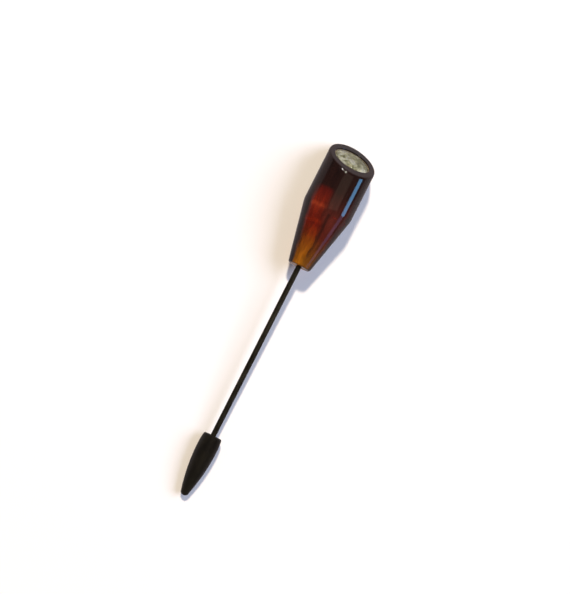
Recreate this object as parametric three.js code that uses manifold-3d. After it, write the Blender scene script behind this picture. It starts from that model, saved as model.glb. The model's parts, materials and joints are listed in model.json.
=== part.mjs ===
// A hat pin: a turned phenolic head with an oblique top that holds a round paste stone,
// a steel shank cemented into the head, and a bullet-shaped point protector that pushes
// on over the shank's point. Millimetres, +Z up.
//
// The pin lies on a flat surface. It rests on the lower side of the head's shoulder and on
// the protector's belly, so its axis rises slightly towards the head, at +X. The oblique
// top faces up. The origin is at the middle of the underside of the pin's bounding box.
//
// Each piece is made about the +Y axis of the pin's own frame, which has its origin at the
// middle of the head's lower face, +Y towards the stone and +Z up.
import * as THREE from "three";
import { ConvexGeometry } from "three/addons/geometries/ConvexGeometry.js";
import { mergeVertices } from "three/addons/utils/BufferGeometryUtils.js";
import Module from "manifold-3d";

const wasm = await Module();
wasm.setup();

// ---- Driving dimensions ----

const HEAD_RADIUS = 5.75; // the cylindrical upper part
const HEAD_END_RADIUS = 2.6; // the lower face, where the shank comes out
const CONE_LENGTH = 14.0; // from the lower face to the shoulder
const CYLINDER_LENGTH = 12.4; // from the shoulder to the oblique top, along the axis
const TOP_SLANT = THREE.MathUtils.degToRad(35); // of the oblique top, from square across
const HEAD_END_ROUND = 0.4; // edge radius at the lower face
const SHOULDER_ROUND = 7.0; // blend radius between cone and cylinder

const STONE_RADIUS = 4.1;
const STONE_TABLE_RADIUS = 2.3;
const TABLE_SIDES = 8;
const KITE_REACH = 0.45; // where the kites' outer corners lie, from table edge to girdle
const STONE_CROWN = 0.75; // height of the table above the girdle
const STONE_GIRDLE = 0.25; // thickness of the girdle
const STONE_PAVILION = 3.1; // depth of the point below the girdle
const STONE_CULET_RADIUS = 0.2;
const STONE_SINK = 0.35; // depth of the girdle's upper edge below the oblique top
const SEAT_CLEARANCE = 0.25; // between the stone and the wall of its seat, all round
const FOIL_THICKNESS = 0.12;
const BED_THICKNESS = 0.25; // of the cement under the foil
const BED_RISE = 0.12; // how far the cement stands above the girdle's lower edge

const SHANK_RADIUS = 0.6;
const SHANK_VISIBLE = 41.0; // between the head and the protector
const SHANK_IN_HEAD = 12.4;
const TANG_RADIUS = 0.4; // of the embedded end, turned down for the cement to grip
const TANG_START = 1.0; // how far inside the head the shank steps down to its tang
const POINT_LENGTH = 5.2;
const POINT_RADIUS = 0.05; // at the very tip
const SHANK_CEMENT = 0.14; // thickness of the cement round the shank, before its tang

const NIB_LENGTH = 14.0; // the nib is the protector's outer shell
const NIB_MOUTH_RADIUS = 2.12;
const NIB_BELLY_RADIUS = 2.3;
const NIB_BELLY_AT = 2.8; // distance of the belly from the mouth
const NIB_TIP_RADIUS = 0.9;
const NIB_TIP_LENGTH = 0.7; // length of the rounded tip
const NIB_MOUTH_ROUND = 0.35;
const NIB_END_WALL = 2.6; // solid material beyond the bore
const POINT_SIDE_CLEARANCE = 0.2; // round the shank in the narrow bore for its point
const POINT_END_CLEARANCE = 0.6; // from the point to the end of that bore

const GRIP_WALL = 0.2;
const GRIP_LENGTH = 4.6;
const GRIP_SLIT = 0.34; // width of the slit along the grip sleeve
const GRIP_SPREAD = 0.18; // room for the grip sleeve to open in the liner
const LINER_WALL = 0.22;
const LINER_LIP = 0.4; // thickness of the turned-in lip at the mouth
const LINER_SINK = 0.3; // how far the lip sits below the mouth
const LINER_SPARE = 1.4; // length of liner beyond the grip sleeve
const LIP_CLEARANCE = 0.1; // between the lip and the shank

const FIT_GAP = 0.05; // between pieces that are cemented or pressed together
const RUNNING_GAP = 0.06; // between pieces that slide or turn on each other
const BODY_SEGMENTS = 36; // round the head and the protector
const SEAT_SEGMENTS = 32; // round the stone and its seat
const SHANK_SEGMENTS = 24; // round the shank and what surrounds it
const ROUND_STEPS = 4; // along a small rounding or a blend
const SWELL_STEPS = 3; // along the protector, from its mouth to its belly
const TAPER_STEPS = 9; // and from its belly to its rounded tip
const TIP_STEPS = 5; // over that tip
const MERGE_DISTANCE = 1e-4; // vertices closer than this are one

// ---- Sizes that follow from them ----

const HEAD_TOP = CONE_LENGTH + CYLINDER_LENGTH; // height of the oblique top on the axis
const SEAT_RADIUS = STONE_RADIUS + SEAT_CLEARANCE;
const PAVILION_ANGLE = Math.atan2(STONE_RADIUS - STONE_CULET_RADIUS, STONE_PAVILION);
const GIRDLE_BOTTOM = -STONE_SINK - STONE_GIRDLE;
const FOIL_INSIDE = FIT_GAP; // distances outside the stone's pavilion
const FOIL_OUTSIDE = FOIL_INSIDE + FOIL_THICKNESS;
const BED_INSIDE = FOIL_OUTSIDE + FIT_GAP;
const BED_OUTSIDE = BED_INSIDE + BED_THICKNESS;
const SEAT_OUTSIDE = BED_OUTSIDE + FIT_GAP;

const SHANK_CEMENT_RADIUS = SHANK_RADIUS + FIT_GAP + SHANK_CEMENT;
const SHANK_CEMENT_TOP = SHANK_IN_HEAD + FIT_GAP + SHANK_CEMENT;

const NIB_MOUTH_Y = -SHANK_VISIBLE;
const NIB_BORE_END = NIB_LENGTH - NIB_END_WALL;
const SHANK_IN_NIB = NIB_BORE_END - POINT_END_CLEARANCE;
const GRIP_INNER_RADIUS = SHANK_RADIUS + FIT_GAP;
const GRIP_RADIUS = GRIP_INNER_RADIUS + GRIP_WALL;
const GRIP_START = LINER_SINK + LINER_LIP + RUNNING_GAP;
const LINER_RADIUS = GRIP_RADIUS + GRIP_SPREAD + LINER_WALL;
const LINER_END = GRIP_START + GRIP_LENGTH + LINER_SPARE;

// ---- Geometry helpers ----

const point = (radius, y) => new THREE.Vector2(radius, y);

// Points along an arc of an ellipse, both ends included. Angles are from +radius towards +y.
function arc(centre, radiusX, radiusY, from, to, steps) {
  const curve = new THREE.EllipseCurve(centre.x, centre.y, radiusX, radiusY, from, to, to < from);
  return curve.getPoints(steps);
}

// A fillet of the corner at b, between the lines to a and to c.
function fillet(a, b, c, radius, steps) {
  const toA = a.clone().sub(b).normalize();
  const toC = c.clone().sub(b).normalize();
  const half = Math.acos(THREE.MathUtils.clamp(toA.dot(toC), -1, 1)) / 2;
  const reach = radius / Math.tan(half);
  const middle = toA.clone().add(toC).normalize();
  const centre = b.clone().addScaledVector(middle, radius / Math.sin(half));
  const start = b.clone().addScaledVector(toA, reach).sub(centre).angle();
  const end = b.clone().addScaledVector(toC, reach).sub(centre).angle();
  const turn = THREE.MathUtils.euclideanModulo(end - start + Math.PI, 2 * Math.PI) - Math.PI;
  return Array.from({ length: steps + 1 }, (_, i) => {
    const angle = start + (turn * i) / steps;
    return point(centre.x + radius * Math.cos(angle), centre.y + radius * Math.sin(angle));
  });
}

// A solid of revolution about +Y, turned so that a flat of the polygon faces down.
function revolve(profile, segments) {
  return new THREE.LatheGeometry(profile, segments, Math.PI / segments, 2 * Math.PI);
}

function toManifold(geometry) {
  const bare = geometry.clone();
  bare.deleteAttribute("normal");
  bare.deleteAttribute("uv");
  const merged = mergeVertices(bare, MERGE_DISTANCE);
  const corners = Array.from(merged.index.array);
  const triVerts = [];
  for (let i = 0; i < corners.length; i += 3) {
    const [a, b, c] = corners.slice(i, i + 3);
    if (a !== b && b !== c && c !== a) triVerts.push(a, b, c);
  }
  return new wasm.Manifold(
    new wasm.Mesh({
      numProp: 3,
      vertProperties: merged.attributes.position.array,
      triVerts: new Uint32Array(triVerts),
    }),
  );
}

function fromManifold(solid) {
  const mesh = solid.getMesh();
  const positions = new Float32Array(mesh.numVert * 3);
  for (let i = 0; i < mesh.numVert; i++) {
    const start = i * mesh.numProp;
    positions.set(mesh.vertProperties.subarray(start, start + 3), i * 3);
  }
  const geometry = new THREE.BufferGeometry();
  geometry.setAttribute("position", new THREE.BufferAttribute(positions, 3));
  geometry.setIndex(new THREE.BufferAttribute(mesh.triVerts, 1));
  geometry.computeVertexNormals();
  return geometry;
}

// ---- Placing the seat: its own axis is +Y, with its origin in the plane of the oblique top ----

function seatFrame() {
  const frame = new THREE.Object3D();
  frame.position.set(0, HEAD_TOP, 0);
  frame.rotation.x = TOP_SLANT;
  frame.updateMatrix();
  return frame;
}

// ---- Head ----

// The head's outline from the lower face to above the oblique top.
function headOutline() {
  const top = HEAD_TOP + 2 * HEAD_RADIUS;
  const end = point(HEAD_END_RADIUS, 0);
  const shoulder = point(HEAD_RADIUS, CONE_LENGTH);
  return [
    point(0, 0),
    ...fillet(point(0, 0), end, shoulder, HEAD_END_ROUND, ROUND_STEPS),
    ...fillet(end, shoulder, point(HEAD_RADIUS, top), SHOULDER_ROUND, ROUND_STEPS),
    point(HEAD_RADIUS, top),
    point(0, top),
  ];
}

// The hollow for the stone: a straight wall, then a cone that follows the bed of cement.
function seatOutline() {
  const above = 2 * HEAD_RADIUS;
  return [
    point(0, pavilionHeight(STONE_CULET_RADIUS, SEAT_OUTSIDE)),
    point(STONE_CULET_RADIUS, pavilionHeight(STONE_CULET_RADIUS, SEAT_OUTSIDE)),
    point(SEAT_RADIUS, pavilionHeight(SEAT_RADIUS, SEAT_OUTSIDE)),
    point(SEAT_RADIUS, above),
    point(0, above),
  ];
}

function shankBoreOutline() {
  const radius = SHANK_CEMENT_RADIUS + FIT_GAP;
  const end = SHANK_CEMENT_TOP + FIT_GAP;
  return [
    point(0, -HEAD_END_RADIUS),
    point(radius, -HEAD_END_RADIUS),
    point(radius, end),
    point(0, end),
  ];
}

function makeHeadBody() {
  const blank = toManifold(revolve(headOutline(), BODY_SEGMENTS));
  const frame = seatFrame();
  const reach = 6 * HEAD_RADIUS;
  const above = new THREE.BoxGeometry(reach, reach, reach)
    .translate(0, reach / 2, 0)
    .applyMatrix4(frame.matrix);
  const seat = revolve(seatOutline(), SEAT_SEGMENTS).applyMatrix4(frame.matrix);
  const bore = revolve(shankBoreOutline(), SHANK_SEGMENTS);
  const cuts = [above, seat, bore].map(toManifold);
  return fromManifold(cuts.reduce((body, cut) => body.subtract(cut), blank));
}

// ---- Stone, foil and cement, in the seat's frame ----

// Height of the plane of a crown facet, from the table's edge down to the girdle.
function crownHeight(out) {
  const share = (STONE_RADIUS - out) / (STONE_RADIUS - STONE_TABLE_RADIUS);
  return -STONE_SINK + STONE_CROWN * share;
}

// Height of the cone that lies this far outside the stone's pavilion, at a radius.
function pavilionHeight(radius, outside) {
  const inwards = (STONE_RADIUS - radius) / Math.tan(PAVILION_ANGLE);
  return GIRDLE_BOTTOM - inwards - outside / Math.sin(PAVILION_ANGLE);
}

function pavilionPoint(radius, outside) {
  return point(radius, pavilionHeight(radius, outside));
}

function ring(count, radius, y, turn = 0) {
  return Array.from({ length: count }, (_, i) => {
    const angle = turn + ((i + 0.5) * 2 * Math.PI) / count;
    return new THREE.Vector3(radius * Math.sin(angle), y, radius * Math.cos(angle));
  });
}

// A brilliant cut: an eight-sided table, kites and triangles down to a round girdle, a point.
function makeStone() {
  const half = Math.PI / TABLE_SIDES;
  const kiteOut = THREE.MathUtils.lerp(STONE_TABLE_RADIUS, STONE_RADIUS, KITE_REACH);
  return new ConvexGeometry([
    ...ring(TABLE_SIDES, STONE_TABLE_RADIUS, crownHeight(STONE_TABLE_RADIUS)),
    ...ring(TABLE_SIDES, kiteOut, crownHeight(kiteOut * Math.cos(half)), half),
    ...ring(SEAT_SEGMENTS, STONE_RADIUS, -STONE_SINK),
    ...ring(SEAT_SEGMENTS, STONE_RADIUS, GIRDLE_BOTTOM),
    ...ring(SEAT_SEGMENTS, STONE_CULET_RADIUS, GIRDLE_BOTTOM - STONE_PAVILION),
  ]);
}

function makeFoil() {
  return revolve(
    [
      point(0, pavilionHeight(STONE_CULET_RADIUS, FOIL_OUTSIDE)),
      pavilionPoint(STONE_CULET_RADIUS, FOIL_OUTSIDE),
      pavilionPoint(STONE_RADIUS, FOIL_OUTSIDE),
      pavilionPoint(STONE_RADIUS, FOIL_INSIDE),
      pavilionPoint(STONE_CULET_RADIUS, FOIL_INSIDE),
      point(0, pavilionHeight(STONE_CULET_RADIUS, FOIL_INSIDE)),
    ],
    SEAT_SEGMENTS,
  );
}

// A bed under the foil that rises a little way up between the stone and its seat.
function makeStoneCement() {
  const wall = SEAT_RADIUS - FIT_GAP;
  const girdle = STONE_RADIUS + FIT_GAP;
  const level = GIRDLE_BOTTOM + BED_RISE;
  return revolve(
    [
      point(0, pavilionHeight(STONE_CULET_RADIUS, BED_OUTSIDE)),
      pavilionPoint(STONE_CULET_RADIUS, BED_OUTSIDE),
      pavilionPoint(wall, BED_OUTSIDE),
      point(wall, level),
      point(girdle, level),
      pavilionPoint(girdle, BED_INSIDE),
      pavilionPoint(STONE_CULET_RADIUS, BED_INSIDE),
      point(0, pavilionHeight(STONE_CULET_RADIUS, BED_INSIDE)),
    ],
    SEAT_SEGMENTS,
  );
}

// ---- Shank and the cement that holds it ----

function shankOutline() {
  const tip = NIB_MOUTH_Y - SHANK_IN_NIB;
  return [
    point(0, tip),
    point(POINT_RADIUS, tip + POINT_RADIUS),
    point(SHANK_RADIUS, tip + POINT_LENGTH),
    point(SHANK_RADIUS, TANG_START),
    point(TANG_RADIUS, TANG_START),
    point(TANG_RADIUS, SHANK_IN_HEAD),
    point(0, SHANK_IN_HEAD),
  ];
}

function makeShankCement() {
  const shank = SHANK_RADIUS + FIT_GAP;
  const tang = TANG_RADIUS + FIT_GAP;
  const step = TANG_START + FIT_GAP;
  const end = SHANK_IN_HEAD + FIT_GAP;
  return revolve(
    [
      point(shank, FIT_GAP),
      point(SHANK_CEMENT_RADIUS, FIT_GAP),
      point(SHANK_CEMENT_RADIUS, SHANK_CEMENT_TOP),
      point(0, SHANK_CEMENT_TOP),
      point(0, end),
      point(tang, end),
      point(tang, step),
      point(shank, step),
      point(shank, FIT_GAP),
    ],
    SHANK_SEGMENTS,
  );
}

// ---- Point protector, on the shank's end with its mouth towards the head ----

// The shell's outer outline from mouth to tip, as radius and distance from the mouth.
function nibOutline() {
  const round = NIB_MOUTH_ROUND;
  const flare = NIB_BELLY_RADIUS - NIB_MOUTH_RADIUS;
  const taper = NIB_BELLY_RADIUS - NIB_TIP_RADIUS;
  const tipStart = NIB_LENGTH - NIB_TIP_LENGTH;
  const lipCentre = point(NIB_MOUTH_RADIUS - round, round);
  const lip = arc(lipCentre, round, round, -Math.PI / 2, 0, ROUND_STEPS);
  const swellRadius = (t) => NIB_BELLY_RADIUS - flare * (1 - t) ** 2;
  const swell = stretch(round, NIB_BELLY_AT, SWELL_STEPS, swellRadius);
  const bodyRadius = (t) => NIB_BELLY_RADIUS - taper * t ** 2;
  const body = stretch(NIB_BELLY_AT, tipStart, TAPER_STEPS, bodyRadius);
  const tip = arc(point(0, tipStart), NIB_TIP_RADIUS, NIB_TIP_LENGTH, 0, Math.PI / 2, TIP_STEPS);
  return [...lip, ...swell, ...body, ...tip.slice(1, -1), point(0, NIB_LENGTH)];
}

// Points between two distances from the mouth, without the first, at radii given by a formula.
function stretch(from, to, steps, radiusAt) {
  return Array.from({ length: steps }, (_, i) => {
    const share = (i + 1) / steps;
    return point(radiusAt(share), THREE.MathUtils.lerp(from, to, share));
  });
}

// From a profile with distances from the mouth to one along the pin's axis.
function fromMouth(points) {
  return points.map((p) => point(p.x, NIB_MOUTH_Y - p.y)).reverse();
}

function makeNibShell() {
  const pointBore = SHANK_RADIUS + POINT_SIDE_CLEARANCE;
  const linerBore = LINER_RADIUS + FIT_GAP;
  const linerBoreEnd = LINER_END + FIT_GAP;
  return revolve(
    fromMouth([
      point(0, NIB_BORE_END),
      point(pointBore, NIB_BORE_END),
      point(pointBore, linerBoreEnd),
      point(linerBore, linerBoreEnd),
      point(linerBore, 0),
      ...nibOutline(),
    ]),
    BODY_SEGMENTS,
  );
}

function makeNibLiner() {
  const throat = SHANK_RADIUS + LIP_CLEARANCE;
  const inner = LINER_RADIUS - LINER_WALL;
  const lipEnd = LINER_SINK + LINER_LIP;
  return revolve(
    fromMouth([
      point(throat, LINER_SINK),
      point(LINER_RADIUS, LINER_SINK),
      point(LINER_RADIUS, LINER_END),
      point(inner, LINER_END),
      point(inner, lipEnd),
      point(throat, lipEnd),
      point(throat, LINER_SINK),
    ]),
    SHANK_SEGMENTS,
  );
}

// A C-shaped sleeve that hugs the shank, held in the liner behind its lip.
function makeGripSleeve() {
  const outerHalf = Math.asin(GRIP_SLIT / 2 / GRIP_RADIUS);
  const innerHalf = Math.asin(GRIP_SLIT / 2 / GRIP_INNER_RADIUS);
  const section = new THREE.Shape();
  section.absarc(0, 0, GRIP_RADIUS, outerHalf, 2 * Math.PI - outerHalf, false);
  section.absarc(0, 0, GRIP_INNER_RADIUS, 2 * Math.PI - innerHalf, innerHalf, true);
  section.closePath();
  return new THREE.ExtrudeGeometry(section, {
    depth: GRIP_LENGTH,
    bevelEnabled: false,
    curveSegments: SHANK_SEGMENTS,
  })
    .rotateX(Math.PI / 2)
    .translate(0, NIB_MOUTH_Y - GRIP_START, 0);
}

// ---- Assembly ----

// The slope of the line that touches the head's outline and the protector's from below.
function restingSlope() {
  const flat = Math.cos(Math.PI / BODY_SEGMENTS);
  const nib = fromMouth(nibOutline());
  const slopes = headOutline()
    .filter((p) => p.y <= HEAD_TOP)
    .map((h) => Math.min(...nib.map((n) => ((h.x - n.x) * flat) / (h.y - n.y))));
  return Math.atan(Math.max(...slopes));
}

function material(color, roughness, metalness) {
  return new THREE.MeshStandardMaterial({ color, roughness, metalness });
}

const rootBeer = material(0x5a2408, 0.12, 0);
const clearPaste = material(0xd8dcc8, 0.05, 0);
const mirrorFoil = material(0xc9c6a8, 0.25, 1);
const tanCement = material(0x8a7a5a, 0.7, 0);
const darkSteel = material(0x3a362e, 0.35, 0.9);
const darkCement = material(0x4a3a24, 0.7, 0);
const blackPhenolic = material(0x1c1712, 0.3, 0);
const brass = material(0xb08d4a, 0.35, 1);

function named(name, geometry, material) {
  const mesh = new THREE.Mesh(geometry, material);
  mesh.name = name;
  return mesh;
}

const setting = seatFrame();
setting.add(
  named("stone", makeStone(), clearPaste),
  named("stone_foil", makeFoil(), mirrorFoil),
  named("stone_cement", makeStoneCement(), tanCement),
);

const pin = new THREE.Group();
pin.rotation.z = -Math.PI / 2;
pin.add(
  named("head_body", makeHeadBody(), rootBeer),
  setting,
  named("shank", revolve(shankOutline(), SHANK_SEGMENTS), darkSteel),
  named("shank_cement", makeShankCement(), darkCement),
  named("protector_shell", makeNibShell(), blackPhenolic),
  named("protector_liner", makeNibLiner(), brass),
  named("grip_sleeve", makeGripSleeve(), brass),
);

const lying = new THREE.Group();
lying.rotation.y = -restingSlope();
lying.add(pin);

const hatPin = new THREE.Group();
hatPin.add(lying);
const box = new THREE.Box3().setFromObject(hatPin, true);
const middle = box.getCenter(new THREE.Vector3());
lying.position.set(-middle.x, -middle.y, -box.min.z);

export default hatPin;
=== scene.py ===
"""Looks for the hat pin: fine meshes, materials, floor, lights and camera round the CAD frame.

Lengths are millimetres until a mesh or a light is made. Pieces are built in the pin's own
frame: +X across it, +Y along it towards the stone, +Z up, with the origin at the middle of
the head's lower face. Their vertices are then moved to the row's frame, in metres.
"""

import json
import math

import bmesh
import bpy
from mathutils import Matrix, Vector


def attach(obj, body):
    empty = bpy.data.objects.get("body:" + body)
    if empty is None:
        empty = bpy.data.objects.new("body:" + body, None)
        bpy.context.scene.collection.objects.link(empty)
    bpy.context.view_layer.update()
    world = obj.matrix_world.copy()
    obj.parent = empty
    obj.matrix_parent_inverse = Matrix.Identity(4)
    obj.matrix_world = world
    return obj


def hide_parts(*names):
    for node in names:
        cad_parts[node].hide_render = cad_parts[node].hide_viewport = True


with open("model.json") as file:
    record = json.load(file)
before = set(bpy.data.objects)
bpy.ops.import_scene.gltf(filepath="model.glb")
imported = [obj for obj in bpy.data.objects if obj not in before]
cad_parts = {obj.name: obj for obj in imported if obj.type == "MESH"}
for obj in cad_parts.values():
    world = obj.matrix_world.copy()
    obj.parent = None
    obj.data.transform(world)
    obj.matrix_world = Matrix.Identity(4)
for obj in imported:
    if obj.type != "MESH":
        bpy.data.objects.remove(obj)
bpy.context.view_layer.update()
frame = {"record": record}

MM = 0.001

# ---- Sizes, as the CAD model has them ----

HEAD_RADIUS = 5.75
HEAD_END_RADIUS = 2.6
CONE_LENGTH = 14.0
CYLINDER_LENGTH = 12.4
HEAD_TOP = CONE_LENGTH + CYLINDER_LENGTH
TOP_SLANT = math.radians(35)
HEAD_END_ROUND = 0.4
SHOULDER_ROUND = 7.0
STONE_RADIUS = 4.1
STONE_TABLE_RADIUS = 2.3
TABLE_SIDES = 8
KITE_REACH = 0.45
STONE_CROWN = 0.75
STONE_GIRDLE = 0.25
STONE_PAVILION = 3.1
STONE_SINK = 0.35
GIRDLE_BOTTOM = -STONE_SINK - STONE_GIRDLE
SEAT_RADIUS = 4.35
SHANK_RADIUS = 0.6
TANG_RADIUS = 0.4
TANG_START = 1.0
SHANK_VISIBLE = 41.0
SHANK_IN_HEAD = 12.4
SHANK_IN_NIB = 10.8
POINT_LENGTH = 5.2
NIB_LENGTH = 14.0
NIB_MOUTH_RADIUS = 2.12
NIB_BELLY_RADIUS = 2.3
NIB_BELLY_AT = 2.8
NIB_TIP_RADIUS = 0.9
NIB_TIP_LENGTH = 0.7
NIB_MOUTH_ROUND = 0.35
NIB_BORE_RADIUS = 1.3
NIB_BORE_DEPTH = 6.81
POINT_BORE_RADIUS = 0.8
POINT_BORE_DEPTH = 11.4
LINER_RADIUS = 1.25
LINER_WALL = 0.22
LINER_START = 0.3
LINER_LIP = 0.4
LINER_END = 6.76
LINER_THROAT = 0.7
GRIP_INNER = 0.65
GRIP_RADIUS = 0.85
GRIP_START = 0.76
GRIP_LENGTH = 4.6
GRIP_SLIT = 0.34
CAD_SIDES = 36
INSIDE_CAD = math.cos(math.pi / CAD_SIDES)  # a circle inside the CAD model's flats

# ---- Camera ----

CAMERA_AIM = (4.726, -0.242, 4.98)
CAMERA_DISTANCE = 236.6
CAMERA_AZIMUTH = math.radians(-134.9)
CAMERA_ELEVATION = math.radians(77.9)
CAMERA_ROLL = math.radians(-71.9)
CAMERA_LENS = 66.1  # on a 36 mm long side


def direction(azimuth, elevation):
    """Unit vector from the object, with azimuth 0 towards -Y."""
    flat = math.cos(elevation)
    return Vector((math.sin(azimuth) * flat, -math.cos(azimuth) * flat, math.sin(elevation)))


def make_camera():
    data = bpy.data.cameras.new("camera")
    data.lens = CAMERA_LENS
    data.sensor_width = 36.0
    data.clip_start = 0.01
    data.clip_end = 50.0
    camera = bpy.data.objects.new("camera", data)
    bpy.context.scene.collection.objects.link(camera)
    back = direction(CAMERA_AZIMUTH, CAMERA_ELEVATION)
    camera.location = (Vector(CAMERA_AIM) + back * CAMERA_DISTANCE) * MM
    level = (-back).to_track_quat("-Z", "Y")
    camera.rotation_mode = "QUATERNION"
    camera.rotation_quaternion = level @ Matrix.Rotation(-CAMERA_ROLL, 3, "Z").to_quaternion()
    bpy.context.scene.camera = camera


# ---- The pin's frame ----


def pin_matrix():
    """From the pin's frame, in millimetres, to the row's frame, in metres."""
    joints = {j["name"]: j for j in frame["record"]["behaviour"]["joints"]}
    turn = joints["protector_turn"]
    along = Vector(turn["axis"]).normalized()
    side = Vector((0, -1, 0))
    up = side.cross(along)
    matrix = Matrix((side, along, up)).transposed().to_4x4()
    matrix.translation = Vector(turn["pos_m"]) + along * SHANK_VISIBLE * MM
    return matrix @ Matrix.Scale(MM, 4)


def seat_matrix():
    """From the seat's frame, +Y out of the middle of the oblique top, to the pin's frame."""
    return Matrix.Translation((0, HEAD_TOP, 0)) @ Matrix.Rotation(TOP_SLANT, 4, "X")


PIN = pin_matrix()
SEAT = seat_matrix()

# ---- Outlines ----


def fillet(a, b, c, radius, steps):
    """Points that round the corner at b, between the lines to a and to c."""
    a, b, c = Vector(a), Vector(b), Vector(c)
    to_a, to_c = (a - b).normalized(), (c - b).normalized()
    half = to_a.angle(to_c) / 2
    reach = radius / math.tan(half)
    centre = b + (to_a + to_c).normalized() * (radius / math.sin(half))
    start, end = b + to_a * reach - centre, b + to_c * reach - centre
    first = math.atan2(start.y, start.x)
    turn = math.remainder(math.atan2(end.y, end.x) - first, math.tau)
    angles = [first + turn * i / steps for i in range(steps + 1)]
    return [(centre.x + radius * math.cos(t), centre.y + radius * math.sin(t)) for t in angles]


def shares(steps):
    return [i / steps for i in range(steps + 1)]


# ---- Meshes ----


def circle(radius, y, segments):
    turns = [math.tau * i / segments for i in range(segments)]
    return [Vector((radius * math.sin(t), y, radius * math.cos(t))) for t in turns]


def skin(rings, loop=False):
    """A closed mesh through rings of points: its ends are fans to their middles, or it loops."""
    bm = bmesh.new()
    rows = [[bm.verts.new(p) for p in ring] for ring in rings]
    pairs = list(zip(rows, rows[1:]))
    if loop:
        pairs.append((rows[-1], rows[0]))
    for low, high in pairs:
        for i in range(len(low)):
            j = (i + 1) % len(low)
            bm.faces.new((low[i], low[j], high[j], high[i]))
    if not loop:
        for row in (rows[0], rows[-1]):
            middle = bm.verts.new(sum((v.co for v in row), Vector()) / len(row))
            for i in range(len(row)):
                bm.faces.new((row[(i + 1) % len(row)], row[i], middle))
    bmesh.ops.recalc_face_normals(bm, faces=bm.faces)
    return bm


def revolve(outline, segments, loop=False):
    return skin([circle(r, y, segments) for r, y in outline], loop)


def piece(name, bm, body, material, replaces=(), crease=30.0):
    """Turns a mesh in the pin's frame into a finished piece that rides on a body."""
    bmesh.ops.transform(bm, matrix=PIN, verts=bm.verts)
    mesh = bpy.data.meshes.new(name)
    bm.to_mesh(mesh)
    bm.free()
    mesh.polygons.foreach_set("use_smooth", [True] * len(mesh.polygons))
    mesh.set_sharp_from_angle(angle=math.radians(crease))
    mesh.materials.append(material)
    made = bpy.data.objects.new(name, mesh)
    bpy.context.scene.collection.objects.link(made)
    bpy.context.view_layer.update()
    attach(made, body)
    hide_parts(*replaces)
    return made


# ---- Head ----

HEAD_SIDES = 192
RIM_ROUND = 0.45  # from the corner of the rim to where its rounding starts
SEAT_EDGE_ROUND = 0.12
SEAT_WALL_END = 1.25  # depth at which the seat's wall turns in under the stone
SEAT_FLOOR = (0.3, 4.55)  # radius and depth of the seat's lowest part
MOUTH_ROUND = 0.08  # at the edge of the hole for the shank
COLLAR_RADIUS = 0.82  # of the cement that shows round the shank
COLLAR_DEPTH = 0.7
COLLAR_HOLLOW = (0.05, 0.16)  # how far its face lies in at its edges, and how hollow it is
CORE_RADIUS = 0.3  # the head closes on the tang, so no air shows round it
CORE_DEPTH = 12.0


def side_outline():
    """The head's side from its lower face to the shoulder, as radius and height."""
    end, shoulder = (HEAD_END_RADIUS, 0), (HEAD_RADIUS, CONE_LENGTH)
    corner = fillet((0, 0), end, shoulder, HEAD_END_ROUND, 6)
    blend = fillet(end, shoulder, (HEAD_RADIUS, HEAD_TOP), SHOULDER_ROUND, 8)
    return [(r * INSIDE_CAD, y) for r, y in corner + blend]


def rim_rings():
    """Rings over the rim's rounding, from the side wall to the flat of the oblique top."""
    middle = Vector((0, HEAD_TOP, 0))
    corner = circle(HEAD_RADIUS * INSIDE_CAD, HEAD_TOP, HEAD_SIDES)
    for p in corner:
        p.y -= p.z * math.tan(TOP_SLANT)
    rings = []
    for t in shares(8):
        ring = []
        for p in corner:
            wall = p - Vector((0, RIM_ROUND, 0))
            flat = p + (middle - p).normalized() * RIM_ROUND
            ring.append(wall * (1 - t) ** 2 + p * 2 * t * (1 - t) + flat * t**2)
        rings.append(ring)
    return rings


def seat_rings():
    """Rings from the mouth of the stone's seat down its wall to under the stone."""
    edge = SEAT_EDGE_ROUND
    floor_radius, floor_depth = SEAT_FLOOR
    outline = [(SEAT_RADIUS + edge + 0.02, 0)]
    outline += fillet((HEAD_RADIUS, 0), (SEAT_RADIUS, 0), (SEAT_RADIUS, -2), edge, 4)
    outline += [(SEAT_RADIUS, -SEAT_WALL_END), (floor_radius, -floor_depth)]
    return [[SEAT @ p for p in circle(r, y, HEAD_SIDES)] for r, y in outline]


def make_head(material):
    bore = [(CORE_RADIUS, CORE_DEPTH), (CORE_RADIUS, COLLAR_DEPTH), (COLLAR_RADIUS, COLLAR_DEPTH)]
    bore += fillet((COLLAR_RADIUS, 1), (COLLAR_RADIUS, 0), (HEAD_END_RADIUS, 0), MOUTH_ROUND, 3)
    rings = [circle(r, y, HEAD_SIDES) for r, y in bore + side_outline()]
    bm = skin(rings + rim_rings() + seat_rings())
    return piece("head", bm, "pin", material, ["head_body"])


def make_collar(material):
    """The cement that shows in the head's mouth, a little hollow where it has shrunk."""
    outer, inner = COLLAR_RADIUS - 0.01, SHANK_RADIUS + 0.005
    top = COLLAR_DEPTH - 0.02
    edge, hollow = COLLAR_HOLLOW
    meniscus = [(outer + (inner - outer) * t, edge + hollow * math.sin(math.pi * t)) for t in shares(6)]
    outline = [(outer, top)] + meniscus + [(inner, top)]
    piece("shank_collar", revolve(outline, 64, loop=True), "pin", material, ["shank_cement"])


# ---- Stone ----

GIRDLE_SIDES = 64
CULET_RADIUS = 0.2
PAVILION_BREAK = (0.55, 0.42)  # where its facets meet, as shares of the radius and the depth
FOIL_GAP = 0.1  # under the pavilion
FOIL_WALL = 0.1
FOIL_RADII = (4.05, 0.25)
BED_RADIUS = 0.2  # of the bed's middle
BED_DEPTHS = (3.5, 3.8)  # of the top and the bottom of that middle
BEAD = (0.32, 0.12)  # height of the bead's edges, and how hollow it is


def ring_points(count, radius, y, turn=0.0):
    turns = [turn + (i + 0.5) * math.tau / count for i in range(count)]
    return [Vector((radius * math.sin(t), y, radius * math.cos(t))) for t in turns]


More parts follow.
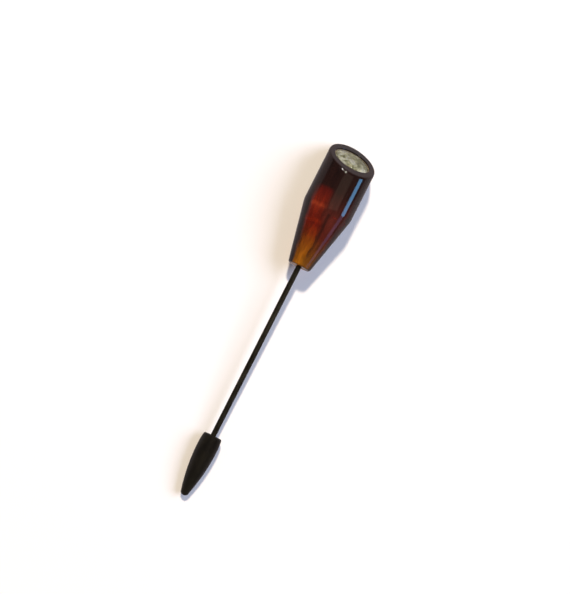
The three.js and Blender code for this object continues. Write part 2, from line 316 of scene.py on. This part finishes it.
def crown_height(out):
    """Height of a crown facet's plane, from the table's edge down to the girdle."""
    return -STONE_SINK + STONE_CROWN * (STONE_RADIUS - out) / (STONE_RADIUS - STONE_TABLE_RADIUS)


def make_stone(material):
    half = math.pi / TABLE_SIDES
    kite = STONE_TABLE_RADIUS + KITE_REACH * (STONE_RADIUS - STONE_TABLE_RADIUS)
    points = ring_points(TABLE_SIDES, STONE_TABLE_RADIUS, crown_height(STONE_TABLE_RADIUS))
    points += ring_points(TABLE_SIDES, kite, crown_height(kite * math.cos(half)), half)
    points += ring_points(GIRDLE_SIDES, STONE_RADIUS, -STONE_SINK)
    points += ring_points(GIRDLE_SIDES, STONE_RADIUS, GIRDLE_BOTTOM)
    out, down = PAVILION_BREAK
    points += ring_points(TABLE_SIDES, STONE_RADIUS * out, GIRDLE_BOTTOM - STONE_PAVILION * down, half)
    points += ring_points(TABLE_SIDES, CULET_RADIUS, GIRDLE_BOTTOM - STONE_PAVILION)
    bm = bmesh.new()
    for p in points:
        bm.verts.new(SEAT @ p)
    bmesh.ops.convex_hull(bm, input=bm.verts)
    bmesh.ops.recalc_face_normals(bm, faces=bm.faces)
    return piece("paste_stone", bm, "pin", material, ["stone"], crease=12.0)


def make_foil(material):
    """A faceted cone of foil close under the stone's pavilion."""
    outer, inner = FOIL_RADII
    top = GIRDLE_BOTTOM - FOIL_GAP
    culet = top - STONE_PAVILION
    outline = [(outer, top), (inner, culet), (inner, culet - FOIL_WALL), (outer, top - FOIL_WALL)]
    rings = [[SEAT @ p for p in ring_points(2 * TABLE_SIDES, r, y)] for r, y in outline]
    piece("foil", skin(rings, loop=True), "pin", material, ["stone_foil"], crease=10.0)


def make_stone_cement(material):
    """The bed under the foil, and the bead of it that shows round the stone's girdle."""
    low = GIRDLE_BOTTOM
    wall, girdle = SEAT_RADIUS - 0.01, STONE_RADIUS + 0.01
    edge, hollow = BEAD
    inside, outside = BED_DEPTHS
    bead = []
    for t in shares(6):
        bead.append((wall + (girdle - wall) * t, low + edge - hollow * math.sin(math.pi * t)))
    outline = [(BED_RADIUS, low - outside), (wall, low - 0.55)] + bead
    outline += [(girdle, low - 0.3), (BED_RADIUS, low - inside)]
    rings = [[SEAT @ p for p in circle(r, y, 96)] for r, y in outline]
    piece("cement_bed", skin(rings), "pin", material, ["stone_cement"])


# ---- Shank ----

TIP_RADIUS = 0.05  # the point isn't perfectly sharp
TIP_ROUND = 0.03


def make_shank(material):
    tip = -SHANK_VISIBLE - SHANK_IN_NIB
    start = tip + POINT_LENGTH
    outline = [(0.02, tip), (TIP_RADIUS, tip + TIP_ROUND)]
    # The point's sides bow out a little, as a ground point's do.
    for t in shares(12)[1:]:
        bow = math.sin(t * math.pi / 2) ** 0.85
        outline.append((TIP_RADIUS + (SHANK_RADIUS - TIP_RADIUS) * bow, tip + t * POINT_LENGTH))
    outline += [(SHANK_RADIUS, start + (TANG_START - start) * t) for t in shares(44)[1:]]
    outline += [(TANG_RADIUS, TANG_START + 0.02), (TANG_RADIUS, SHANK_IN_HEAD)]
    piece("shank_wire", revolve(outline, 48), "pin", material, ["shank"], crease=25.0)


# ---- Protector ----

BORE_ROUND = 0.1
GRIP_EDGE = 0.05  # chamfer on the sleeve's ends
LINER_ROUND = 0.12


def from_mouth(outline):
    """From distances inside the protector's mouth to heights along the pin."""
    return [(r, -SHANK_VISIBLE - y) for r, y in outline]


def make_protector(material):
    rounding = NIB_MOUTH_ROUND
    outline = [(POINT_BORE_RADIUS, POINT_BORE_DEPTH), (POINT_BORE_RADIUS, NIB_BORE_DEPTH)]
    outline += [(NIB_BORE_RADIUS, NIB_BORE_DEPTH)]
    outline += fillet((NIB_BORE_RADIUS, 2), (NIB_BORE_RADIUS, 0), (NIB_MOUTH_RADIUS, 0), BORE_ROUND, 4)
    outline += fillet((0, 0), (NIB_MOUTH_RADIUS, 0), (NIB_MOUTH_RADIUS, 4), rounding, 6)
    flare = NIB_BELLY_RADIUS - NIB_MOUTH_RADIUS
    reach = NIB_BELLY_AT - rounding
    for t in shares(6)[1:]:
        outline.append((NIB_BELLY_RADIUS - flare * (1 - t) ** 2, rounding + t * reach))
    tip_start = NIB_LENGTH - NIB_TIP_LENGTH
    taper = NIB_BELLY_RADIUS - NIB_TIP_RADIUS
    for t in shares(28)[1:]:
        outline.append((NIB_BELLY_RADIUS - taper * t**2, NIB_BELLY_AT + t * (tip_start - NIB_BELLY_AT)))
    for t in shares(10)[1:-1]:
        turn = t * math.pi / 2
        outline.append((NIB_TIP_RADIUS * math.cos(turn), tip_start + NIB_TIP_LENGTH * math.sin(turn)))
    outline.append((0.02, NIB_LENGTH))
    shell = [(r * INSIDE_CAD, y) for r, y in outline]
    bm = revolve(from_mouth(shell), 128)
    piece("protector", bm, "protector", material, ["protector_shell"])


def make_liner(material):
    inner = LINER_RADIUS - LINER_WALL
    lip = LINER_START + LINER_LIP
    throat, corner = (LINER_THROAT, LINER_START), (LINER_RADIUS, LINER_START)
    outline = fillet((LINER_THROAT, lip), throat, corner, LINER_ROUND, 4)
    outline += fillet(throat, corner, (LINER_RADIUS, LINER_END), LINER_ROUND, 4)
    outline += [(LINER_RADIUS, LINER_END), (inner, LINER_END), (inner, lip), (LINER_THROAT, lip)]
    bm = revolve(from_mouth(outline), 96, loop=True)
    piece("liner", bm, "protector", material, ["protector_liner"])


def make_sleeve(material):
    """A C-shaped spring sleeve, with its slit towards +X and chamfered ends."""
    steps = 64
    first = math.asin(GRIP_SLIT / 2 / GRIP_RADIUS)
    turns = [first + (math.tau - 2 * first) * t for t in shares(steps)]
    edge = GRIP_EDGE
    ends = ((edge, 0.0), (0.0, edge), (0.0, GRIP_LENGTH - edge), (edge, GRIP_LENGTH))
    rings = []
    for inset, y in ends:
        low, high = GRIP_INNER + inset, GRIP_RADIUS - inset
        place = -SHANK_VISIBLE - GRIP_START - y
        outer = [Vector((high * math.cos(t), place, high * math.sin(t))) for t in turns]
        inner = [Vector((low * math.cos(t), place, low * math.sin(t))) for t in reversed(turns)]
        rings.append(outer + inner)
    bm = bmesh.new()
    rows = [[bm.verts.new(p) for p in ring] for ring in rings]
    count = len(rows[0])
    for low, high in zip(rows, rows[1:]):
        for i in range(count):
            j = (i + 1) % count
            bm.faces.new((low[i], low[j], high[j], high[i]))
    for row in (rows[0], rows[-1]):
        for i in range(steps):
            bm.faces.new((row[i], row[i + 1], row[count - 2 - i], row[count - 1 - i]))
    bmesh.ops.recalc_face_normals(bm, faces=bm.faces)
    piece("spring_sleeve", bm, "grip", material, ["grip_sleeve"])


# ---- Materials ----


class Nodes:
    """A small helper that adds and joins the nodes of one material."""

    def __init__(self, name):
        self.material = bpy.data.materials.new(name)
        self.material.use_nodes = True
        self.tree = self.material.node_tree
        self.shader = self.tree.nodes["Principled BSDF"]
        self.output = self.tree.nodes["Material Output"]

    def add(self, kind, **settings):
        """A new node; settings are its input sockets' values or its own properties."""
        node = self.tree.nodes.new("ShaderNode" + kind)
        for key, value in settings.items():
            if key in node.inputs:
                node.inputs[key].default_value = value
            else:
                setattr(node, key, value)
        return node

    def link(self, source, target):
        """Links a socket to the target, or sets the target to a plain value."""
        if isinstance(source, bpy.types.NodeSocket):
            self.tree.links.new(source, target)
        else:
            target.default_value = source

    def set(self, **values):
        """Sets the shader's own sockets, named with underscores for spaces."""
        sockets = {s.name.lower().replace(" ", "_"): s for s in self.shader.inputs}
        for key, value in values.items():
            sockets[key].default_value = value

    def place(self):
        """A point of the surface in the pin's frame, in millimetres."""
        local = PIN.inverted()
        axes = (local.to_3x3() * MM).to_euler()
        coordinates = self.add("TexCoord")
        mapping = self.add("Mapping", vector_type="POINT", Rotation=axes, Scale=(1 / MM,) * 3)
        mapping.inputs["Location"].default_value = local.translation
        self.link(coordinates.outputs["Object"], mapping.inputs["Vector"])
        return mapping.outputs["Vector"]

    def math(self, operation, *values):
        node = self.add("Math", operation=operation)
        for value, socket in zip(values, node.inputs):
            self.link(value, socket)
        return node.outputs[0]

    def between(self, value, low, high, to_low=0.0, to_high=1.0):
        """A smooth step of the value from to_low, at low, to to_high, at high."""
        node = self.add("MapRange", interpolation_type="SMOOTHSTEP")
        names = ("Value", "From Min", "From Max", "To Min", "To Max")
        for name, setting in zip(names, (value, low, high, to_low, to_high)):
            self.link(setting, node.inputs[name])
        return node.outputs[0]

    def noise(self, vector, stretch, detail=3.0, roughness=0.5):
        """Noise with this many features for each millimetre, across, along and up."""
        scaled = self.add("VectorMath", operation="MULTIPLY")
        self.link(vector, scaled.inputs[0])
        scaled.inputs[1].default_value = stretch
        node = self.add("TexNoise", Scale=1.0, Detail=detail, Roughness=roughness)
        self.link(scaled.outputs[0], node.inputs["Vector"])
        return node.outputs["Fac"]

    def ramp(self, value, stops):
        """Colours by value; stops are pairs of value, from 0 to 1, and colour."""
        node = self.add("ValToRGB")
        elements = node.color_ramp.elements
        for element, (place, color) in zip(elements, (stops[0], stops[-1])):
            element.position = place
            element.color = (*color, 1)
        for place, color in stops[1:-1]:
            elements.new(place).color = (*color, 1)
        self.link(value, node.inputs["Fac"])
        return node.outputs["Color"]

    def mix(self, share, low, high, blend="MIX"):
        node = self.add("MixRGB", blend_type=blend)
        self.link(share, node.inputs["Fac"])
        for value, socket in ((low, node.inputs["Color1"]), (high, node.inputs["Color2"])):
            self.link((*value, 1) if isinstance(value, tuple) else value, socket)
        return node.outputs["Color"]

    def split(self, vector):
        node = self.add("SeparateXYZ")
        self.link(vector, node.inputs[0])
        return node.outputs

    def bump(self, height, depth):
        """Bumps the surface by the height, 0 to 1, times the depth in millimetres."""
        node = self.add("Bump", Strength=1.0, Distance=depth * MM)
        self.link(height, node.inputs["Height"])
        self.link(node.outputs["Normal"], self.shader.inputs["Normal"])

    def into(self, name, source):
        self.link(source, self.shader.inputs[name])


# The head's colours against the distance from its lower face, in millimetres: the side painted
# as lit, amber where light glows through, and the side painted in shade. Both drop at about 17.5 mm
# to a painted shadow line of the stone's setting, and the black above it is partly painted shade.
AMBER_LIT_SIDE = (
    (0.0, (0.42, 0.150, 0.005)),
    (4.0, (0.33, 0.090, 0.003)),
    (7.0, (0.21, 0.026, 0.002)),
    (9.3, (0.16, 0.010, 0.002)),
    (10.0, (0.22, 0.016, 0.002)),
    (10.8, (0.15, 0.010, 0.002)),
    (12.8, (0.22, 0.020, 0.006)),
    (13.3, (0.34, 0.042, 0.012)),
    (14.0, (0.17, 0.014, 0.004)),
    (16.8, (0.11, 0.008, 0.004)),
    (17.8, (0.022, 0.006, 0.004)),
    (27.0, (0.009, 0.004, 0.003)),
)
DARK_SHADED_SIDE = (
    (0.0, (0.32, 0.115, 0.007)),
    (4.0, (0.20, 0.052, 0.005)),
    (7.0, (0.15, 0.020, 0.008)),
    (11.0, (0.14, 0.022, 0.012)),
    (14.5, (0.075, 0.016, 0.010)),
    (17.5, (0.032, 0.009, 0.006)),
    (27.0, (0.009, 0.005, 0.003)),
)
RAMP_SPAN = 27.0


def head_material():
    """Swirled phenolic: amber at the narrow end, red-brown at the shoulder, black above. One side is
    painted lit amber and the other painted shade, and the black top is partly painted shade.
    """
    m = Nodes("root_beer_phenolic")
    place = m.place()
    x, y, _ = m.split(place)
    waver = m.math("SUBTRACT", m.noise(place, (0.35, 0.12, 0.35)), 0.5)
    along = m.math("DIVIDE", m.math("MULTIPLY_ADD", waver, 1.6, y), RAMP_SPAN)
    amber = m.ramp(along, [(y0 / RAMP_SPAN, color) for y0, color in AMBER_LIT_SIDE])
    dark = m.ramp(along, [(y0 / RAMP_SPAN, color) for y0, color in DARK_SHADED_SIDE])
    radius = m.add("MapRange")
    radius.inputs["From Max"].default_value = CONE_LENGTH
    radius.inputs["To Min"].default_value = HEAD_END_RADIUS
    radius.inputs["To Max"].default_value = HEAD_RADIUS
    m.link(y, radius.inputs["Value"])
    across = m.math("DIVIDE", x, radius.outputs[0])
    swayed = m.math("MULTIPLY_ADD", waver, 0.5, across)
    # The painted lit amber side narrows towards the shoulder.
    edge = m.math("ADD", swayed, m.between(y, 6.0, 15.0, 0.0, 0.3))
    # Painted light: the -X side takes the lit amber, the +X side the painted shade.
    color = m.mix(m.between(edge, -0.12, 0.12), amber, dark)
    # A brighter amber streak is painted into the lit side, as painted light.
    rim = m.between(m.math("ABSOLUTE", m.math("ADD", edge, 0.35)), 0.30, 0.08)
    color = m.mix(m.math("MULTIPLY", rim, 0.45), color, amber, "ADD")
    # Painted shade darkens both flanks of the head.
    flank_shade = m.math("ADD", m.between(swayed, -0.7, -0.92), m.between(swayed, 0.5, 0.85))
    color = m.mix(flank_shade, color, (0.022, 0.010, 0.007))
    # A faint dark line stands for the tang, which shows through the real amber.
    tang = m.math("MULTIPLY", m.between(m.math("ABSOLUTE", swayed), 0.10, 0.03), m.between(y, 0.0, 4.0))
    tang = m.math("MULTIPLY", tang, m.between(y, SHANK_IN_HEAD + 0.3, SHANK_IN_HEAD - 0.3, 0.0, 0.6))
    color = m.mix(tang, color, (0.03, 0.008, 0.004))
    streaks = m.noise(place, (1.3, 0.16, 1.3), detail=4.0, roughness=0.6)
    color = m.mix(1.0, color, m.ramp(streaks, [(0.3, (0.68,) * 3), (0.7, (1.28,) * 3)]), "MULTIPLY")
    m.into("Base Color", color)
    scuffs = m.noise(place, (2.2, 2.2, 2.2), detail=5.0, roughness=0.65)
    m.into("Roughness", m.between(scuffs, 0.45, 0.8, 0.05, 0.16))
    lathe = m.noise(place, (0.25, 14.0, 0.25), detail=2.0)
    pits = m.noise(place, (3.5, 3.5, 3.5), detail=3.0)
    m.bump(m.math("MULTIPLY_ADD", pits, 1.5, lathe), 0.0008)
    m.set(ior=1.5, transmission_weight=0.45)
    absorb = m.add("VolumeAbsorption", Color=(0.8, 0.35, 0.08, 1), Density=180.0)
    m.link(absorb.outputs[0], m.output.inputs["Volume"])
    return m.material


def stone_material():
    """Old paste: clear glass that has gone a little milky, with a faint green tint."""
    m = Nodes("paste")
    place = m.place()
    cloud = m.noise(place, (0.45, 0.45, 0.45), detail=3.0)
    # Angular patches stand for the light that the worn facets throw about inside the stone.
    patches = m.add("TexVoronoi", Scale=0.75)
    m.link(place, patches.inputs["Vector"])
    patch = m.split(patches.outputs["Color"])[0]
    stops = [(0.5, (0.24, 0.25, 0.14)), (0.66, (0.58, 0.59, 0.40)), (0.82, (0.82, 0.86, 0.74))]
    m.into("Base Color", m.ramp(m.math("MULTIPLY_ADD", patch, 0.35, cloud), stops))
    wear = m.noise(place, (4.0, 4.0, 4.0), detail=4.0)
    m.into("Roughness", m.between(wear, 0.5, 0.8, 0.03, 0.22))
    waves = m.noise(place, (0.8, 0.8, 0.8), detail=1.0)
    m.bump(m.math("MULTIPLY_ADD", wear, 0.05, waves), 0.04)
    m.set(ior=1.52, transmission_weight=0.7)
    return m.material


def foil_material():
    """Silver foil, yellowed and mottled by age."""
    m = Nodes("foil")
    place = m.place()
    mottle = m.noise(place, (0.7, 0.7, 0.7), detail=4.0, roughness=0.6)
    stops = [(0.36, (0.16, 0.13, 0.05)), (0.5, (0.60, 0.57, 0.34)), (0.62, (0.85, 0.88, 0.80))]
    m.into("Base Color", m.ramp(mottle, stops))
    m.into("Roughness", m.between(mottle, 0.4, 0.65, 0.5, 0.28))
    m.bump(m.noise(place, (2.5, 2.5, 2.5), detail=3.0), 0.03)
    m.set(metallic=1.0)
    return m.material


def cement_material(name, low, high):
    m = Nodes(name)
    place = m.place()
    grain = m.noise(place, (5.0, 5.0, 5.0), detail=4.0, roughness=0.7)
    m.into("Base Color", m.ramp(grain, [(0.35, low), (0.65, high)]))
    m.into("Roughness", m.between(grain, 0.3, 0.7, 0.85, 0.55))
    m.bump(grain, 0.02)
    return m.material


def steel_material():
    """Dark drawn wire: fine lines along it, patches of tarnish, brighter where it is rubbed."""
    m = Nodes("dark_steel")
    place = m.place()
    y = m.split(place)[1]
    tarnish = m.noise(place, (0.8, 0.25, 0.8), detail=4.0, roughness=0.65)
    color = m.ramp(tarnish, [(0.35, (0.030, 0.024, 0.014)), (0.65, (0.085, 0.078, 0.055))])
    rubbed = m.between(y, -SHANK_VISIBLE - 1, -SHANK_VISIBLE - 6)
    color = m.mix(rubbed, color, (0.20, 0.19, 0.16))
    m.into("Base Color", color)
    drawn = m.noise(place, (14.0, 0.5, 14.0), detail=2.0)
    m.into("Roughness", m.between(m.math("ADD", drawn, tarnish), 0.7, 1.3, 0.42, 0.26))
    m.bump(drawn, 0.004)
    m.set(metallic=0.85)
    return m.material


def protector_material():
    """Near-black phenolic, its gloss worn by handling, with turning marks round it."""
    m = Nodes("dark_phenolic")
    place = m.place()
    swirl = m.noise(place, (0.5, 0.2, 0.5), detail=3.0)
    color = m.ramp(swirl, [(0.35, (0.004, 0.003, 0.0015)), (0.7, (0.011, 0.009, 0.0045))])
    worn = m.noise(place, (2.4, 2.4, 2.4), detail=5.0, roughness=0.65)
    m.into("Base Color", m.mix(m.between(worn, 0.58, 0.75), color, (0.018, 0.014, 0.010)))
    m.into("Roughness", m.between(worn, 0.35, 0.75, 0.40, 0.55))
    turned = m.noise(place, (0.2, 9.0, 0.2), detail=2.0)
    m.bump(m.math("MULTIPLY_ADD", worn, 1.2, turned), 0.0015)
    m.set(ior=1.5)
    return m.material


def brass_material():
    """Dull brass, darkened in patches."""
    m = Nodes("brass")
    place = m.place()
    patches = m.noise(place, (1.5, 1.5, 1.5), detail=4.0, roughness=0.65)
    m.into("Base Color", m.ramp(patches, [(0.35, (0.24, 0.14, 0.045)), (0.62, (0.56, 0.40, 0.16))]))
    m.into("Roughness", m.between(patches, 0.35, 0.65, 0.5, 0.3))
    m.bump(m.noise(place, (0.6, 8.0, 0.6), detail=2.0), 0.004)
    m.set(metallic=1.0)
    return m.material


def floor_material():
    m = Nodes("pale_floor")
    m.set(base_color=(0.85, 0.85, 0.85, 1), roughness=0.7, specular_ior_level=0.0)
    return m.material


# ---- Floor, lights and world ----

LIGHT_DISTANCE = 3.0  # metres
FLOOR_RADIUS = 4.0  # metres
FLOOR_SHEEN_HEIGHT = 0.00002
GLINT_COLOR = (1.0, 0.97, 0.9)
KEY = (0.55, 0.38, 1.0)
# Towards each lamp that leaves a dot on the head's rim, and how bright it looks.
GLINTS = (
    ((0.564, 0.389, 0.729), 420.0),
    ((0.543, 0.255, 0.800), 60.0),
    ((0.538, 0.111, 0.835), 420.0),
)


def make_floor():
    """A wide round floor that polished pieces don't mirror."""
    bm = bmesh.new()
    bmesh.ops.create_circle(bm, cap_ends=True, radius=FLOOR_RADIUS, segments=96)
    mesh = bpy.data.meshes.new("floor")
    bm.to_mesh(mesh)
    bm.free()
    mesh.materials.append(floor_material())
    floor = bpy.data.objects.new("floor", mesh)
    bpy.context.scene.collection.objects.link(floor)
    floor.visible_glossy = False


def area_light(name, towards, size, radiance, color, roll=0.0):
    """A far panel towards that direction, its size in degrees, that looks this bright."""
    towards = Vector(towards).normalized()
    data = bpy.data.lights.new(name, "AREA")
    data.shape = "RECTANGLE"
    data.size = 2 * LIGHT_DISTANCE * math.tan(math.radians(size[0]) / 2)
    data.size_y = 2 * LIGHT_DISTANCE * math.tan(math.radians(size[1]) / 2)
    data.energy = 4 * radiance * data.size * data.size_y
    data.color = color
    light = bpy.data.objects.new(name, data)
    bpy.context.scene.collection.objects.link(light)
    light.location = towards * LIGHT_DISTANCE
    light.rotation_mode = "QUATERNION"
    aim = (-towards).to_track_quat("-Z", "Y")
    light.rotation_quaternion = aim @ Matrix.Rotation(math.radians(roll), 3, "Z").to_quaternion()
    return light


def only_diffuse(light):
    """Leaves a light out of every reflection and out of what shows through."""
    light.visible_glossy = False
    light.visible_transmission = False


def only_glossy(light):
    """Leaves only a light's reflections."""
    light.visible_diffuse = False
    light.visible_transmission = False


def falls_on(light, made):
    """Lets a light fall on one piece only."""
    only = bpy.data.collections.new(light.name + "_falls_on")
    only.objects.link(made)
    light.light_linking.receiver_collection = only


def make_lights(head, stone):
    key = area_light("warm_key", KEY, (5, 5), 325.0, (1.0, 0.85, 0.67))
    key.visible_glossy = False
    glow = area_light("window_glow", (0.31, -0.60, 0.75), (38, 38), 4.4, (0.74, 0.79, 1.0))
    only_diffuse(glow)
    pane = area_light("window_pane", (0.07, -0.92, 0.385), (17, 24), 5.5, (0.2, 0.55, 1.0), roll=90)
    edge = area_light("window_edge", (-0.28, -0.89, 0.34), (18, 16), 0.7, (0.6, 0.5, 1.0), roll=90)
    for panel in (pane, edge):
        only_glossy(panel)
        falls_on(panel, head)
    for reach in (24, 42):
        size = (reach, 30)
        only_glossy(area_light("ceiling", (0.035, -0.17, 0.98), size, 0.25, (1.0, 0.8, 0.6), roll=90))
    # The key has no reflection of its own. Small lamps, each on one piece, leave its glints.
    for towards, radiance in GLINTS:
        glint = area_light("rim_glint", towards, (3, 3), radiance, GLINT_COLOR)
        only_glossy(glint)
        falls_on(glint, head)
    glint = area_light("stone_glint", (0.909, -0.148, 0.39), (2, 2), 100.0, GLINT_COLOR)
    only_glossy(glint)
    falls_on(glint, stone)
    # Polished pieces mirror this dim sheet instead of the brightly lit floor.
    sheet = area_light("floor_sheen", (0, 0, -1), (40, 40), 0.2, (1.0, 0.82, 0.82))
    sheet.location = (0, 0, FLOOR_SHEEN_HEIGHT)
    only_glossy(sheet)
    world = bpy.data.worlds.new("room")
    world.use_nodes = True
    world.node_tree.nodes["Background"].inputs["Color"].default_value = (0.09, 0.09, 0.1, 1)
    bpy.context.scene.world = world


bpy.context.scene.view_settings.view_transform = "Standard"

make_camera()
make_floor()
bed = cement_material("bed", (0.10, 0.08, 0.055), (0.26, 0.22, 0.16))
collar = cement_material("collar", (0.035, 0.022, 0.012), (0.10, 0.065, 0.035))
brass = brass_material()
make_lights(make_head(head_material()), make_stone(stone_material()))
make_foil(foil_material())
make_collar(collar)
make_stone_cement(bed)
make_shank(steel_material())
make_protector(protector_material())
make_liner(brass)
make_sleeve(brass)
